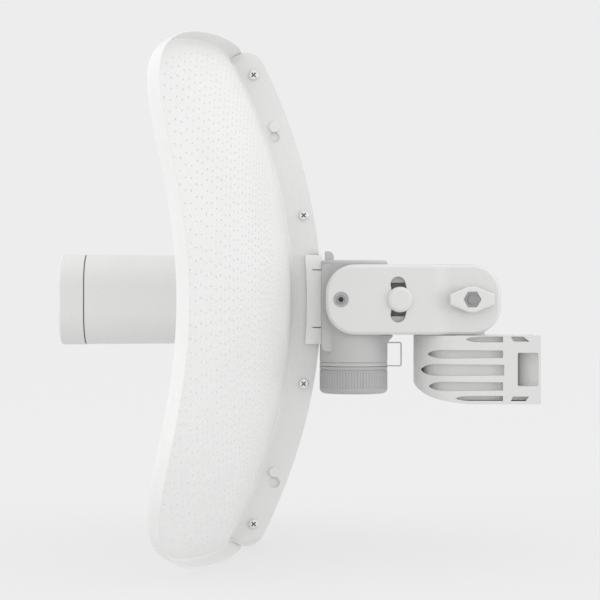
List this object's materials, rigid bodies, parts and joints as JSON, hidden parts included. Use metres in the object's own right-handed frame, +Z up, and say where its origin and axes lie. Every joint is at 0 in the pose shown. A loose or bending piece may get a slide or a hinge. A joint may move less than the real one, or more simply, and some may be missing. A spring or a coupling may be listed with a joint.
{
  "type": "outdoor wireless bridge",
  "caption": "Outdoor wireless bridge: a perforated dish in two halves with a rear-fed radio tube, on a tilting arm with a pole clamp.",
  "frame": {"origin": "on the pole's axis, level with the middle of the pole cradle", "axes": "+Z up along the pole, -Y the way the dish looks, X across the dish"},
  "size_m": [0.533, 0.4104, 0.4308],
  "materials": {
    "white_coat": "satin powder coat",
    "white_shell": "fine moulded texture",
    "arm_shell": "fine moulded texture",
    "clamp_shell": "fine moulded texture",
    "cap_shell": "fine moulded texture",
    "tab_grey": "satin",
    "seal": "matt",
    "zinc": "zinc plated",
    "stainless": "drawn wire",
    "board": "solder mask",
    "tinplate": "tin plated",
    "reflector_metal": "mill finish",
    "jack_black": "moulded",
    "button_grey": "moulded"
  },
  "bodies": {
    "clamp": {"pole_clamp": "clamp_shell", "clamp_bolt": "zinc", "clamp_washer": "zinc"},
    "wing": {"wing_nut": "white_shell", "wing_insert": "zinc"},
    "arm": {"arm": "arm_shell"},
    "head": {"reflector_right": "white_coat", "reflector_left": "white_coat", "flange_screws": "zinc", "flange_nuts": "zinc", "keyhole_studs": "white_shell", "feed_housing": "white_shell", "feed_cap": "white_shell", "feed_seal": "seal", "sub_reflector": "reflector_metal", "feed_board": "board", "radio_board": "board", "board_shield": "tinplate", "rear_housing": "white_shell", "saddle_bracket": "white_shell", "release_spring": "stainless", "port_board": "board", "ethernet_jack": "jack_black", "reset_switch": "jack_black", "pivot_screws": "zinc", "slot_bolt": "white_shell"},
    "tab": {"release_tab": "tab_grey"},
    "button": {"reset_button": "button_grey"},
    "cap": {"port_cap": "cap_shell", "cap_seal": "seal", "cable_grommet": "seal"},
    "bail": {"wire_bail": "stainless"},
    "lock_nut": {"slot_nut": "zinc"}
  },
  "joints": [
    {"name": "arm_swing", "type": "hinge", "parent": "clamp", "child": "arm", "pos_m": [0, -0.0634, 0.06], "axis": [-1, 0, 0], "range_deg": [0, 30]},
    {"name": "dish_tilt", "type": "hinge", "parent": "arm", "child": "head", "pos_m": [0, -0.1745, 0.06], "axis": [-1, 0, 0], "range_deg": [-15, 15]},
    {"name": "wing_nut_spin", "type": "hinge", "parent": "clamp", "child": "wing", "pos_m": [0, -0.0634, 0.06], "axis": [1, 0, 0], "continuous": true},
    {"name": "lock_nut_spin", "type": "hinge", "parent": "head", "child": "lock_nut", "pos_m": [0, -0.1242, 0.06], "axis": [1, 0, 0], "continuous": true},
    {"name": "cap_spin", "type": "hinge", "parent": "head", "child": "cap", "pos_m": [0, -0.1628, -0.01], "axis": [0, 0, 1], "continuous": true},
    {"name": "bail_swing", "type": "hinge", "parent": "head", "child": "bail", "pos_m": [-0.0185, -0.1362, 0.012], "axis": [0, 0, -1], "range_deg": [-48, 60]},
    {"name": "release_press", "type": "slide", "parent": "head", "child": "tab", "axis": [0, 0, -1], "range_m": [0, 0.004], "stiffness_N_per_m": 600, "springref_m": -0.002, "deforming": ["release_spring"]},
    {"name": "reset_press", "type": "slide", "parent": "head", "child": "button", "axis": [0, 0, 1], "range_m": [0, 0.0003], "stiffness_N_per_m": 3000}
  ]
}
